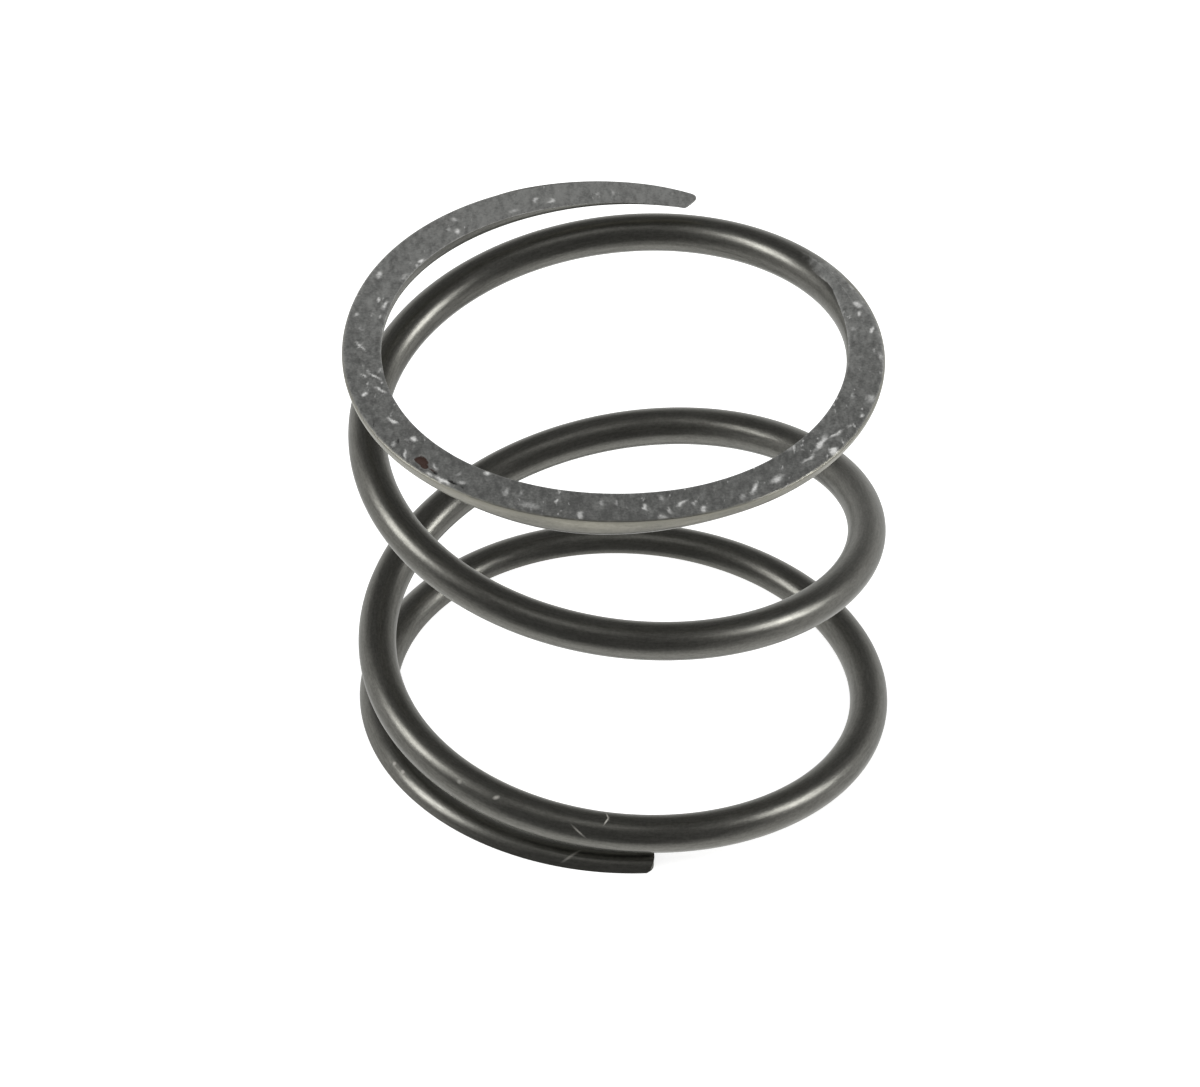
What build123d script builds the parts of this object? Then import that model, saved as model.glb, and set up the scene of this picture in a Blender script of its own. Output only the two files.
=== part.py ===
"""Oil filter spring, one length of round spring wire, in millimetres.

The wire is wound left-hand into a short compression coil. Both ends are
closed down against the next turn and ground flat, so the coil stands firmly
on either face. From its upper tip, at the back, the wire runs round by the
left, the front and the right while it goes down to the lower tip, at the
front. The origin is on the floor, under the middle of the coil.
"""
import os
from math import ceil, cos, pi, radians, sin, tan

from build123d import *

ON_BASE = (Align.CENTER, Align.CENTER, Align.MIN)

# Driving dimensions, in millimetres, degrees and whole turns of the wire
wire_diameter = 2.0
outside_diameter = 28.0
free_height = 24.2
total_turns = 3.57
upper_tip_angle = 73.2

# The closed end coils: turns before the pitch opens, and the gap at each tip
upper_closed_turns = 0.65
lower_closed_turns = 0.615
upper_tip_gap = 0.96
lower_tip_gap = 0.3

# What the grinding leaves of the wire at each tip
upper_tip_thickness = 0.26
lower_tip_thickness = 0.63

# The sheared wire ends: how far each cut turns off square, and its corners
upper_cut_skew = 18.0
lower_cut_skew = 0.0
tip_corner_radius = 0.8

# The body leans off square to the left, from so many turns above the lower tip
lean_angle = 3.1
lean_begins = 0.69
lean_complete = 1.25

# Each end coil springs out a little, most at so many turns from its own tip
upper_spread = 0.42
upper_spread_turn = 0.42
upper_spread_reach = 0.165
lower_spread = 0.145
lower_spread_turn = 0.36
lower_spread_reach = 0.6
# and its last stretch tucks in again
upper_tuck = 0.12
upper_tuck_reach = 0.45
lower_tuck = 0.195
lower_tuck_reach = 0.35

# The upper end coil lies flatter than the leaning body under it, with the most
# lift at so many turns from its tip
upper_lift = 0.55
upper_lift_turn = 0.39
upper_lift_reach = 0.305

# Room round the wire in the shear that cuts its tips, and the wire it cuts off
shear_clearance = 0.05
sheared_length = 0.5
# A corner of a tip takes at most this share of half the wire's width
largest_corner_share = 0.9

# The centre line is made of short spans that run smoothly into each other,
# each as steep as the winding is over a hair's breadth of a turn
spans_per_turn = 8
hair_of_turn = 0.001

wire_radius = wire_diameter / 2
cutter_depth = 2 * wire_diameter
coil_radius = (outside_diameter - wire_diameter) / 2
sheared_turn = sheared_length / (2 * pi * coil_radius)
active_turns = total_turns - upper_closed_turns - lower_closed_turns
middle_turn = upper_closed_turns + active_turns / 2


def opened_turns(turn):
    """Turns' worth of full pitch passed between the upper tip and this turn."""
    across = (turn - middle_turn) / (active_turns / 2)
    across = max(-1.0, min(1.0, across))
    return active_turns / pi * (1 + sin(across * pi / 2))


def solve_pitches(total_drop):
    """The pitches of the upper end coil, of the open middle and of the lower end coil.

    The pitch swells from each end coil to the middle as half a cosine wave.
    Each end coil's pitch gives the stated gap at its tip, and the middle pitch
    makes up the rest of the drop.
    """
    half = opened_turns(middle_turn)
    upper_share = opened_turns(1)
    lower_share = opened_turns(total_turns) - opened_turns(total_turns - 1)
    # Each end pitch is a constant less a share of the middle pitch
    upper_base = (wire_diameter + upper_tip_gap) / (1 - upper_share)
    lower_base = (wire_diameter + lower_tip_gap) / (1 - lower_share)
    upper_slope = upper_share / (1 - upper_share)
    lower_slope = lower_share / (1 - lower_share)
    upper_turns = middle_turn - half
    lower_turns = total_turns - middle_turn - half
    fixed_drop = upper_base * upper_turns + lower_base * lower_turns
    free_turns = 2 * half - upper_slope * upper_turns - lower_slope * lower_turns
    middle_pitch = (total_drop - fixed_drop) / free_turns
    upper_pitch = upper_base - upper_slope * middle_pitch
    lower_pitch = lower_base - lower_slope * middle_pitch
    return upper_pitch, middle_pitch, lower_pitch


def eased(share):
    """A share held between 0 and 1 that starts and ends gently."""
    share = max(0.0, min(1.0, share))
    return share * share * (3 - 2 * share)


def hump(distance, reach):
    """A smooth hump, 1 at no distance and 0 from its reach outwards."""
    off_peak = max(-1.0, min(1.0, distance / reach))
    return cos(off_peak * pi / 2) ** 2


def lean_at(turn):
    """Lean in radians: none in the lower end coil, then fading in up the coil."""
    above_tip = total_turns - turn
    return radians(lean_angle) * eased((above_tip - lean_begins) / (lean_complete - lean_begins))


def radius_at(turn):
    """Radius of the coil to the wire's centre, with each end's spread and tuck."""
    above_tip = total_turns - turn
    spread = upper_spread * hump(turn - upper_spread_turn, upper_spread_reach)
    spread += lower_spread * hump(above_tip - lower_spread_turn, lower_spread_reach)
    tuck = upper_tuck * eased(1 - turn / upper_tuck_reach)
    tuck += lower_tuck * eased(1 - above_tip / lower_tuck_reach)
    return coil_radius + spread - tuck


# Heights of the wire's centre at both tips, set by what the grinding leaves
lower_tip_height = lower_tip_thickness - wire_radius
upper_tip_height = free_height + wire_radius - upper_tip_thickness
upper_tip_reach = radius_at(0) * cos(radians(upper_tip_angle))
upper_tip_along_axis = (upper_tip_height - upper_tip_reach * sin(lean_at(0))) / cos(lean_at(0))
drop = upper_tip_along_axis - lower_tip_height
upper_pitch, middle_pitch, lower_pitch = solve_pitches(drop)


def fall(turn):
    """Drop of the wire's centre from the upper tip, along the coil's own axis."""
    opened = opened_turns(turn)
    half = opened_turns(middle_turn)
    above = min(turn, middle_turn) - min(opened, half)
    below = max(turn - middle_turn, 0) - max(opened - half, 0)
    return upper_pitch * above + middle_pitch * opened + lower_pitch * below


def centre(turn):
    """Point on the wire's centre line after so many turns from the upper tip."""
    angle = radians(upper_tip_angle) + 2 * pi * turn
    across = radius_at(turn) * cos(angle)
    lift = upper_lift * hump(turn - upper_lift_turn, upper_lift_reach)
    height = upper_tip_along_axis - fall(turn) + lift
    lean = lean_at(turn)
    return Vector(
        across * cos(lean) - height * sin(lean),
        radius_at(turn) * sin(angle),
        across * sin(lean) + height * cos(lean),
    )


def direction(turn):
    """Unit vector down the wire at this turn."""
    return (centre(turn + hair_of_turn) - centre(turn - hair_of_turn)).normalized()


def wound_wire():
    """The round wire along its whole coil, with a little to spare past both tips."""
    first = -sheared_turn
    length = total_turns + 2 * sheared_turn
    count = ceil(length * spans_per_turn)
    turns = [first + length * index / count for index in range(count + 1)]
    spans = [
        Spline(
            centre(begin),
            centre((begin + end) / 2),
            centre(end),
            tangents=(direction(begin), direction(end)),
            tangent_scalars=(1, 1),
        )
        for begin, end in zip(turns, turns[1:])
    ]
    path = Wire(spans)
    start = Plane(origin=path @ 0, z_dir=path % 0)
    return sweep(start * Circle(wire_radius), path=path)


def ground_away(low):
    """Everything that the grinding takes, in one block standing on height low."""
    reach = 2 * outside_diameter
    return Pos(0, 0, low) * Box(reach, reach, cutter_depth, align=ON_BASE)


def tip_shear(turn, onward, skew, low, high):
    """Block that shears the wire off at a tip and rounds the tip's corners in plan.

    Onward is +1 where the wire's run goes out over the tip and -1 where it
    comes in from it. The wire stays in a pocket a little wider than itself.
    The heights low and high keep the block clear of the turn next to the tip.
    """
    tip = centre(turn)
    run = direction(turn) * onward
    frame = Plane(origin=(tip.X, tip.Y, low), x_dir=(run.X, run.Y, 0), z_dir=(0, 0, 1))
    side = wire_radius + shear_clearance
    lead = -onward * tan(radians(skew)) * side
    back = cutter_depth
    pocket = Polygon((-back, -side), (-lead, -side), (lead, side), (-back, side), align=None)
    corner_radius = min(tip_corner_radius, largest_corner_share * side)
    pocket = fillet(pocket.vertices().sort_by(Axis.X)[-2:], corner_radius)
    behind = corner_radius + abs(lead)
    ahead = sheared_length + wire_radius / 2
    width = 2 * side + wire_radius
    block = Pos((ahead - behind) / 2, 0) * Rectangle(ahead + behind, width)
    return extrude(frame * (block - pocket), high - low)


def spring():
    """The wound wire, ground and sheared, with its foot's middle at the origin."""
    body = wound_wire()
    body -= ground_away(free_height)
    body -= ground_away(-cutter_depth)
    low = free_height - upper_tip_thickness - shear_clearance
    body -= tip_shear(0, -1, upper_cut_skew, low, free_height + wire_diameter)
    high = lower_tip_thickness + shear_clearance
    body -= tip_shear(total_turns, 1, lower_cut_skew, -wire_diameter, high)
    middle = body.bounding_box().center()
    return Pos(-middle.X, -middle.Y, 0) * body


print(f"pitch: upper end {upper_pitch:.2f}, middle {middle_pitch:.2f}, lower end {lower_pitch:.2f}")
os.makedirs("parts", exist_ok=True)
export_step(spring(), "parts/oil_filter_spring.step")
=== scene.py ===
"""Oil filter spring: the finished look of one length of wound, ground spring wire.

The wire's mesh follows the same few sizes as the part's own solid, in the
part's own frame. It adds what the grinding and the use left on the metal:
softened and burred shoulders, scuffs, pits, rust and lint.
"""

import logging
import math
from collections.abc import Callable
from dataclasses import asdict, dataclass, fields
from enum import Enum
from math import atan, hypot, pi, radians

import bpy
from mathutils import Matrix, Vector


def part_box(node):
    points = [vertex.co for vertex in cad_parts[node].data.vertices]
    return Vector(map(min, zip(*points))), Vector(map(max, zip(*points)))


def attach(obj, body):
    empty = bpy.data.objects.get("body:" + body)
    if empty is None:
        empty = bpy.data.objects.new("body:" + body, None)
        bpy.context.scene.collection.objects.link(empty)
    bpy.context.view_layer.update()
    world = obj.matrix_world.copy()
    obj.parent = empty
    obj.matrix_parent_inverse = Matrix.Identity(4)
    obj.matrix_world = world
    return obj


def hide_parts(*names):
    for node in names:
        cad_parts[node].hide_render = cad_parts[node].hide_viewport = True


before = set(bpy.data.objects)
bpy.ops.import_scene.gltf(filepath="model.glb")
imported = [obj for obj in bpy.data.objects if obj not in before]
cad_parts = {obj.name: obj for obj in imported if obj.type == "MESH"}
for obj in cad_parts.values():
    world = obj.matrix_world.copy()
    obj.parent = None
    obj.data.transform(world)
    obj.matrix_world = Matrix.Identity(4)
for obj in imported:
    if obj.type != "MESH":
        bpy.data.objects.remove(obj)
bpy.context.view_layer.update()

log = logging.getLogger("oil_filter_spring")

# Metres in a millimetre: sizes are given in millimetres and angles in degrees
MM = 0.001
NODE = "oil_filter_spring"

# What the wire's mesh carries for its material
PLACE = "wire_place"
FACE = "wire_face"
RUST = "wire_rust"
WORN = "wire_worn"
BRIGHT = "wire_bright"
SHOULDER = "wire_shoulder"

# A mark or a fleck is full in its middle and fades out a little past its edge
FADE = 1.3


def put(name: str, data: bpy.types.ID) -> bpy.types.Object:
    """Puts a new object in the scene, at the origin, and returns it.

    Args:
        name: what the object is called.
        data: its mesh, lamp or camera.

    Returns:
        The object.
    """
    made = bpy.data.objects.new(name, data)
    bpy.context.scene.collection.objects.link(made)
    return made


def cleared(owner: bpy.types.Material | bpy.types.World) -> bpy.types.NodeTree:
    """Gives a material or the world an empty node tree, and returns the tree.

    Args:
        owner: the material or the world.

    Returns:
        The tree, with no node on it.
    """
    owner.use_nodes = True
    owner.node_tree.nodes.clear()
    return owner.node_tree


class Sums:
    """Sums on plain numbers. A bench of nodes does the same sums on its fields."""

    def sin(self, angle: "Number") -> "Number":
        """Sine of an angle in radians."""
        return math.sin(angle)

    def cos(self, angle: "Number") -> "Number":
        """Cosine of an angle in radians."""
        return math.cos(angle)

    def least(self, first: "Number", second: "Number") -> "Number":
        """The smaller of two numbers."""
        return min(first, second)

    def most(self, first: "Number", second: "Number") -> "Number":
        """The larger of two numbers."""
        return max(first, second)

    def held(self, value: "Number", low: "Number" = 0.0, high: "Number" = 1.0) -> "Number":
        """A number held between two others."""
        return self.least(self.most(value, low), high)

    def eased(self, share: "Number") -> "Number":
        """A share held between 0 and 1 that starts and ends gently."""
        share = self.held(share)
        return share * share * (3.0 - 2.0 * share)

    def hump(self, value: "Number", middle: "Number", reach: "Number") -> "Number":
        """A smooth hump, 1 at its middle and 0 from its reach outwards.

        Args:
            value: where the hump is read.
            middle: where it is highest.
            reach: how far it goes on either side.

        Returns:
            Its height there.
        """
        off = self.held((value - middle) / reach, -1.0, 1.0)
        across = self.cos(off * (pi / 2))
        return across * across


def operator(operation: str, turned: bool = False) -> Callable[["Field", "Number"], "Field"]:
    """One of Python's operators on a field, as the Math node that works it out.

    Args:
        operation: the node's operation.
        turned: whether the field stands second.

    Returns:
        What Python calls for the operator.
    """

    def result(field: "Field", other: "Number") -> "Field":
        """The Math node's result."""
        values = (other, field) if turned else (field, other)
        return field.bench.math(operation, *values)

    return result


class Field:
    """A number or vector that travels along a node tree, for Python's own operators."""

    __add__, __radd__ = operator("ADD"), operator("ADD", turned=True)
    __sub__, __rsub__ = operator("SUBTRACT"), operator("SUBTRACT", turned=True)
    __mul__, __rmul__ = operator("MULTIPLY"), operator("MULTIPLY", turned=True)
    __truediv__, __rtruediv__ = operator("DIVIDE"), operator("DIVIDE", turned=True)

    def __init__(self, bench: "NodeBench", socket: bpy.types.NodeSocket) -> None:
        """Wraps one output socket of a node on the bench."""
        self.bench = bench
        self.socket = socket

    def __neg__(self) -> "Field":
        """The number with its sign turned."""
        return self.bench.math("MULTIPLY", self, -1.0)

    def __abs__(self) -> "Field":
        """The number without its sign."""
        return self.bench.math("ABSOLUTE", self)


Number = Field | float
Value = Field | float | int | bool | str | tuple | bpy.types.ID | bpy.types.NodeSocket
Setting = str | bool | bpy.types.NodeTree
Colour = tuple[float, float, float]


@dataclass(frozen=True)
class Pattern:
    """Smooth noise about one half, with so many swells in a millimetre."""

    swells: float
    # How many finer layers there are, and how strong they are
    detail: float = 2.0
    roughness: float = 0.5
    # What share of the swells is left along the way that the pattern is drawn out
    drawn: float = 1.0
    # Which slice of the noise it is
    layer: float = 0.0


@dataclass(frozen=True)
class Edge:
    """The values between which a look fades in, and how far noise frays them."""

    low: float
    high: float
    fray: float = 0.0


class NodeBench(Sums):
    """Lays nodes on one tree, of geometry or of a shader, and joins them up."""

    def __init__(self, tree: bpy.types.NodeTree) -> None:
        """Takes the tree that the nodes go on."""
        self.tree = tree

    def node(
        self, kind: str, values: dict[str, Value] | None = None, **settings: Setting
    ) -> bpy.types.Node:
        """Adds a node.

        Args:
            kind: Blender's name for the kind of node.
            values: what goes into its inputs, by their names.
            settings: the node's own settings, by name.

        Returns:
            The new node.
        """
        made = self.tree.nodes.new(kind)
        for name, setting in settings.items():
            setattr(made, name, setting)
        for name, value in (values or {}).items():
            self.feed(made.inputs[name], value)
        return made

    def feed(self, socket: bpy.types.NodeSocket, value: Value) -> None:
        """Gives an input socket a field, another node's output or a plain value.

        Args:
            socket: the input.
            value: what goes into it.
        """
        if isinstance(value, Field):
            self.tree.links.new(value.socket, socket)
        elif isinstance(value, bpy.types.NodeSocket):
            self.tree.links.new(value, socket)
        else:
            socket.default_value = value

    def math(self, operation: str, *values: Number) -> Field:
        """The result of one Math node.

        Args:
            operation: the node's operation.
            values: its inputs, in order.

        Returns:
            What the node gives.
        """
        made = self.node("ShaderNodeMath", operation=operation)
        for socket, value in zip(made.inputs, values):
            self.feed(socket, value)
        return Field(self, made.outputs[0])

    def sin(self, angle: Number) -> Field:
        """Sine of an angle in radians."""
        return self.math("SINE", angle)

    def cos(self, angle: Number) -> Field:
        """Cosine of an angle in radians."""
        return self.math("COSINE", angle)

    def least(self, first: Number, second: Number) -> Field:
        """The smaller of two numbers."""
        return self.math("MINIMUM", first, second)

    def most(self, first: Number, second: Number) -> Field:
        """The larger of two numbers."""
        return self.math("MAXIMUM", first, second)

    def over(self, value: Number, limit: Number) -> Field:
        """1 where a number is more than the limit, or else 0."""
        return self.math("GREATER_THAN", value, limit)

    def between(self, value: Number, low: float, high: float) -> Field:
        """How far a number is from low to high, eased, as a share."""
        return self.eased((value - low) / (high - low))

    def swing(self, noise: Field, size: float) -> Field:
        """Noise that swings about nothing, by so much in all."""
        return (noise - 0.5) * size

    def frayed(self, value: Number, edge: Edge, noise: Field) -> Field:
        """How far a look has faded in at a value, with its edge frayed by noise."""
        return self.between(value + self.swing(noise, edge.fray), edge.low, edge.high)

    def chosen(self, switch: Number, off: Number, on: Number) -> Field:
        """A number that goes from off to on as the switch goes from 0 to 1."""
        return off + switch * (on - off)

    def vector(self, x: Number, y: Number, z: Number) -> Field:
        """A vector made of three numbers."""
        return Field(self, self.node("ShaderNodeCombineXYZ", {"X": x, "Y": y, "Z": z}).outputs[0])

    def parts(self, vector: Value) -> tuple[Field, Field, Field]:
        """The three numbers that a vector is made of."""
        made = self.node("ShaderNodeSeparateXYZ", {"Vector": vector})
        return tuple(Field(self, socket) for socket in made.outputs)

    def vectors(self, operation: str, *values: Value) -> Field:
        """The result of one Vector Math node.

        Args:
            operation: the node's operation.
            values: its inputs, in order.

        Returns:
            What the node gives: a vector, or the length of one.
        """
        made = self.node("ShaderNodeVectorMath", operation=operation)
        for socket, value in zip(made.inputs, values):
            self.feed(socket, value)
        return Field(self, made.outputs["Value" if operation == "LENGTH" else "Vector"])

    def scaled(self, vector: Value, size: Number) -> Field:
        """A vector made longer or shorter.

        Args:
            vector: the vector.
            size: how many times as long it gets.

        Returns:
            The vector at its new length.
        """
        made = self.node("ShaderNodeVectorMath", {"Scale": size}, operation="SCALE")
        self.feed(made.inputs[0], vector)
        return Field(self, made.outputs["Vector"])

    def noise(self, place: Field, pattern: Pattern) -> Field:
        """Smooth noise about one half, read at a place.

        Args:
            place: the vector that the noise is read at.
            pattern: the kind of noise.

        Returns:
            The noise there.
        """
        values = {
            "Vector": place,
            "Scale": pattern.swells,
            "Detail": pattern.detail,
            "Roughness": pattern.roughness,
        }
        return Field(self, self.node("ShaderNodeTexNoise", values).outputs[0])


class GeometryBench(NodeBench):
    """A bench for one Geometry Nodes tree with a single mesh as its result."""

    def __init__(self, name: str) -> None:
        """Starts an empty tree of this name.

        Args:
            name: the tree's name.
        """
        super().__init__(bpy.data.node_groups.new(name, "GeometryNodeTree"))
        self.tree.interface.new_socket("Mesh", in_out="OUTPUT", socket_type="NodeSocketGeometry")
        self.entry = self.node("NodeGroupInput")

    def size(self, name: str, kind: str = "NodeSocketFloat") -> Field:
        """Adds a named input to the tree.

        Args:
            name: the input's name.
            kind: the type of its socket.

        Returns:
            The input, as it is read inside the tree.
        """
        self.tree.interface.new_socket(name, in_out="INPUT", socket_type=kind)
        return Field(self, self.entry.outputs[name])

    def remember(self, geometry: Value, name: str, value: Value, kind: str = "FLOAT") -> Value:
        """Stores a named attribute on each point.

        Args:
            geometry: the curve or mesh.
            name: the attribute's name.
            value: the number or vector to store.
            kind: the attribute's data type.

        Returns:
            The geometry with its attribute.
        """
        values = {"Geometry": geometry, "Name": name, "Value": value}
        made = self.node("GeometryNodeStoreNamedAttribute", values, data_type=kind, domain="POINT")
        return made.outputs["Geometry"]

    def recall(self, name: str, kind: str = "FLOAT") -> Field:
        """Reads a named attribute back."""
        made = self.node("GeometryNodeInputNamedAttribute", {"Name": name}, data_type=kind)
        return Field(self, made.outputs["Attribute"])

    def placed(self, geometry: Value, position: Field) -> Value:
        """Moves each point of the geometry to a position."""
        made = self.node("GeometryNodeSetPosition", {"Geometry": geometry, "Position": position})
        return made.outputs["Geometry"]

    def smoothed(self, mesh: Value, sharpest: float) -> Value:
        """Shades a mesh smooth, with its edges left sharp past an angle in degrees.

        Args:
            mesh: the mesh.
            sharpest: the angle, in degrees.

        Returns:
            The shaded mesh.
        """
        values = {"Geometry": mesh, "Shade Smooth": True}
        smooth = self.node("GeometryNodeSetShadeSmooth", values, domain="FACE")
        angle = Field(self, self.node("GeometryNodeInputMeshEdgeAngle").outputs["Unsigned Angle"])
        values = {
            "Geometry": smooth.outputs[0],
            "Selection": self.over(angle, radians(sharpest)),
            "Shade Smooth": False,
        }
        return self.node("GeometryNodeSetShadeSmooth", values, domain="EDGE").outputs[0]

    def finish(self, mesh: Value, material: bpy.types.Material) -> None:
        """Realizes the mesh, gives it its material and joins it to the tree's result.

        Args:
            mesh: the finished mesh.
            material: what it is dressed in.
        """
        real = self.node("GeometryNodeRealizeInstances", {"Geometry": mesh})
        values = {"Geometry": real.outputs[0], "Material": material}
        dressed = self.node("GeometryNodeSetMaterial", values)
        self.feed(self.node("NodeGroupOutput").inputs[0], dressed.outputs[0])

    def made(self, name: str, values: dict[str, Value]) -> bpy.types.Object:
        """Runs the tree and keeps its result as an ordinary mesh.

        Args:
            name: the new object's name.
            values: what each of the tree's inputs is set to, by its name.

        Returns:
            The object, in the scene, with no modifier left on it.
        """
        piece = put(name, bpy.data.meshes.new(name + "_seed"))
        modifier = piece.modifiers.new("shape", "NODES")
        modifier.node_group = self.tree
        for item in self.tree.interface.items_tree:
            if item.in_out == "INPUT":
                modifier[item.identifier] = values[item.name]
        depsgraph = bpy.context.evaluated_depsgraph_get()
        shaped = piece.evaluated_get(depsgraph)
        mesh = bpy.data.meshes.new_from_object(
            shaped, preserve_all_data_layers=True, depsgraph=depsgraph
        )
        mesh.name = name
        piece.modifiers.clear()
        piece.data = mesh
        return piece


class Trace(Enum):
    """What a mark on the ground face is."""

    SCUFF = "bright bare metal"
    PIT = "dark pit"
    RUST = "brown rust"


@dataclass(frozen=True)
class Mark:
    """A mark in the upper ground face.

    The angle goes about the coil's middle, from its right by its back. How
    far the mark lies outwards of the wire's middle, its length along the wire
    and its width are in millimetres. A slanting mark runs inwards by so many
    millimetres for each millimetre along the wire.
    """

    angle: float
    outwards: float
    length: float
    width: float
    strength: float = 1.0
    slant: float = 0.0


@dataclass(frozen=True)
class WornStretch:
    """A stretch of the upper ground face with more bright specks than the rest."""

    angle: float
    reach: float
    strength: float


@dataclass(frozen=True)
class Fleck:
    """A thread of lint or a speck of dust that sticks to the round wire.

    The turn is counted from the upper tip, and round is the angle from the
    wire's crown outwards to the fleck. Its length along the wire and its
    width round it are in millimetres. A slanting fleck goes outwards by so
    many millimetres for each millimetre along the wire.
    """

    turn: float
    round: float
    length: float
    width: float
    strength: float
    slant: float = 0.0


MARKS = {
    Trace.RUST: (
        Mark(226.4, 0.46, 0.95, 0.62, 1.0, -0.12),
        Mark(228.0, 0.62, 0.5, 0.34),
        Mark(230.2, 0.57, 0.7, 0.16, 0.6),
    ),
    Trace.PIT: (
        Mark(231.1, 0.66, 0.45, 0.17, 1.0, -0.2),
        Mark(235.7, 0.70, 0.6, 0.17),
        Mark(238.2, 0.74, 0.4, 0.15, 0.7),
        Mark(211.1, 0.74, 0.55, 0.18, 0.8, -0.4),
        Mark(218.2, 0.37, 0.45, 0.2, 0.7, -0.6),
        Mark(204.6, -0.10, 0.35, 0.35, 0.4),
        Mark(301.9, 0.45, 0.22, 0.6, 1.0, 0.8),
        Mark(278.4, -0.28, 0.25, 0.22, 0.6),
        Mark(315.5, 0.70, 0.45, 0.2, 0.5),
        Mark(326.6, 0.41, 0.4, 0.22),
        Mark(137.0, -0.44, 0.7, 0.5, 0.35),
        Mark(141.0, -0.56, 0.5, 0.3, 0.45, 0.4),
        Mark(145.2, -0.64, 0.6, 0.3, 0.35),
        Mark(149.0, -0.36, 0.6, 0.3, 0.4),
        Mark(159.9, -0.07, 0.9, 0.4, 0.4),
    ),
    Trace.SCUFF: (
        Mark(92.2, -0.10, 0.16, 0.9, 0.3),
        Mark(95.6, -0.20, 0.18, 0.8, 0.4),
        Mark(106.8, -0.40, 0.65, 0.26, 0.6, 0.5),
        Mark(110.6, -0.15, 0.5, 0.34, 0.8, 0.7),
        Mark(117.0, -0.60, 0.6, 0.3, 0.35),
        Mark(131.3, 0.33, 0.35, 0.4, 0.5),
        Mark(133.4, -0.56, 0.4, 0.42, 0.85, 0.8),
        Mark(134.3, -0.15, 0.3, 0.4, 0.4, 0.8),
        Mark(148.2, -0.83, 0.45, 0.2, 0.95),
        Mark(150.2, -0.83, 0.4, 0.2, 0.75),
        Mark(155.9, -0.76, 0.8, 0.3, 0.4),
        Mark(157.9, 0.45, 0.7, 0.26, 0.8, 0.3),
        Mark(166.5, -0.21, 0.5, 0.2, 0.8, 0.1),
        Mark(168.1, -0.68, 1.0, 0.26, 0.75),
        Mark(172.4, -0.68, 0.4, 0.2, 0.65),
        Mark(172.5, -0.20, 0.35, 0.16, 0.5),
        Mark(173.1, 0.60, 0.5, 0.2, 0.55),
        Mark(177.7, 0.05, 0.4, 0.16, 0.45, 0.3),
        Mark(184.1, 0.05, 0.8, 0.15, 0.9, 0.74),
        Mark(184.0, 0.05, 0.55, 0.15, 0.7, -0.55),
        Mark(194.8, 0.09, 0.4, 0.2, 0.75, 0.9),
        Mark(192.9, -0.20, 0.3, 0.25, 0.45, 0.4),
        Mark(193.2, -0.84, 0.5, 0.2, 0.5, -0.4),
        Mark(195.2, -0.48, 0.72, 0.24, 1.0, 0.75),
        Mark(200.4, -0.52, 0.78, 0.22, 0.85, 0.67),
        Mark(201.0, 0.35, 0.34, 0.28),
        Mark(212.0, -0.24, 0.72, 0.24, 0.95, 0.39),
        Mark(219.6, -0.41, 0.42, 0.3, 0.95),
        Mark(218.9, -0.07, 0.3, 0.3, 0.4),
        Mark(218.6, 0.70, 0.3, 0.3, 0.6),
        Mark(222.5, 0.74, 0.65, 0.24, 0.85, -0.87),
        Mark(229.9, 0.28, 0.5, 0.2, 0.6, -0.4),
        Mark(230.7, 0.94, 0.4, 0.2, 0.85),
        Mark(233.9, 0.90, 1.0, 0.28),
        Mark(235.2, 0.00, 0.2, 0.5, 0.4, -0.6),
        Mark(237.3, 0.41, 0.35, 0.3, 0.6, 0.5),
        Mark(240.4, -0.92, 0.42, 0.5, 0.95),
        Mark(247.0, 0.00, 0.2, 0.8, 0.5, -0.5),
        Mark(250.4, -0.20, 0.18, 0.5, 0.4, -0.4),
        Mark(253.2, 0.58, 1.1, 0.6, 0.35),
        Mark(264.3, 0.78, 0.34, 0.6, 0.6),
        Mark(268.4, -0.28, 0.3, 0.4, 0.45),
        Mark(272.1, -0.28, 0.2, 0.45, 0.45),
        Mark(278.4, 0.09, 0.26, 0.52, 1.0, 0.4),
        Mark(281.4, 0.90, 0.5, 0.5, 0.45),
        Mark(283.4, 0.53, 0.2, 0.5, 0.5, 0.6),
        Mark(282.6, -0.52, 0.26, 0.6, 0.4),
        Mark(286.8, 0.05, 0.6, 0.26, 0.85, 0.8),
        Mark(289.1, 0.29, 0.26, 0.3, 0.5),
        Mark(290.5, 0.78, 0.34, 0.42, 0.8, 0.8),
        Mark(300.0, 0.70, 0.3, 0.5, 0.45, 1.0),
        Mark(303.7, 0.37, 0.7, 0.32, 0.95, 0.8),
        Mark(309.8, 0.37, 0.9, 0.42, 0.85, 0.1),
        Mark(320.0, 0.25, 1.15, 0.2, 0.65, 0.1),
        Mark(319.4, -1.00, 0.5, 0.3, 0.4),
        Mark(325.5, 0.82, 0.55, 0.52),
        Mark(325.9, -0.03, 1.5, 0.38, 1.0, 0.17),
        Mark(331.0, 0.25, 1.1, 0.22, 0.8, -0.25),
        Mark(334.8, 0.50, 0.4, 0.18, 0.45, 0.3),
        Mark(339.2, 0.74, 0.42, 0.22, 0.85),
        Mark(345.5, 0.66, 0.7, 0.55, 0.5),
        Mark(345.2, -0.21, 0.5, 0.24, 0.4),
        Mark(360.5, 0.74, 0.8, 0.3, 0.45),
        Mark(362.1, 0.45, 0.5, 0.22, 0.45),
        Mark(369.4, 0.44, 0.45, 0.22, 0.95, -0.3),
        Mark(370.1, -0.52, 0.4, 0.3, 0.4),
        Mark(375.4, 0.09, 0.38, 0.26, 0.7, -0.5),
        Mark(378.8, 0.25, 0.6, 0.4, 0.7),
        Mark(385.4, 0.45, 0.5, 0.24, 0.4),
        Mark(401.4, -0.49, 0.5, 0.22, 0.65, -0.4),
    ),
}

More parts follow.
